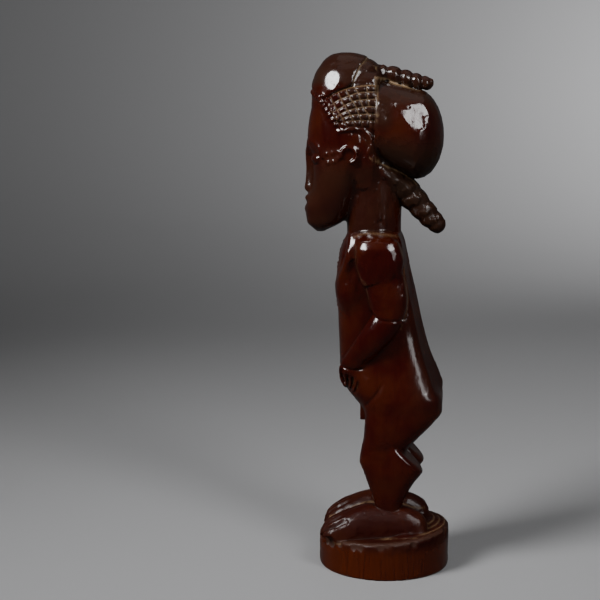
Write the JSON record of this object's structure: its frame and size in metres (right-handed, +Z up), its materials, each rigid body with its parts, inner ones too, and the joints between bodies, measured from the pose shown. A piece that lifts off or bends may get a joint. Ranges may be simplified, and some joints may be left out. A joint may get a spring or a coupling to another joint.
{
  "type": "carved wooden figure",
  "caption": "Standing carved wooden spirit spouse figure with plaited hair, a round bun and braids, hands on the belly, on a round base.",
  "frame": {"origin": "middle of the flat underside of the round base", "axes": "+Z up; the figure faces -Y and its left side is +X"},
  "size_m": [0.1024, 0.1163, 0.3997],
  "materials": {
    "wood": "dark red-brown stained hardwood, rubbed to a high gloss, with pale dust in the carved grooves"
  },
  "bodies": {
    "root": {"carved_figure": "wood"}
  },
  "joints": []
}
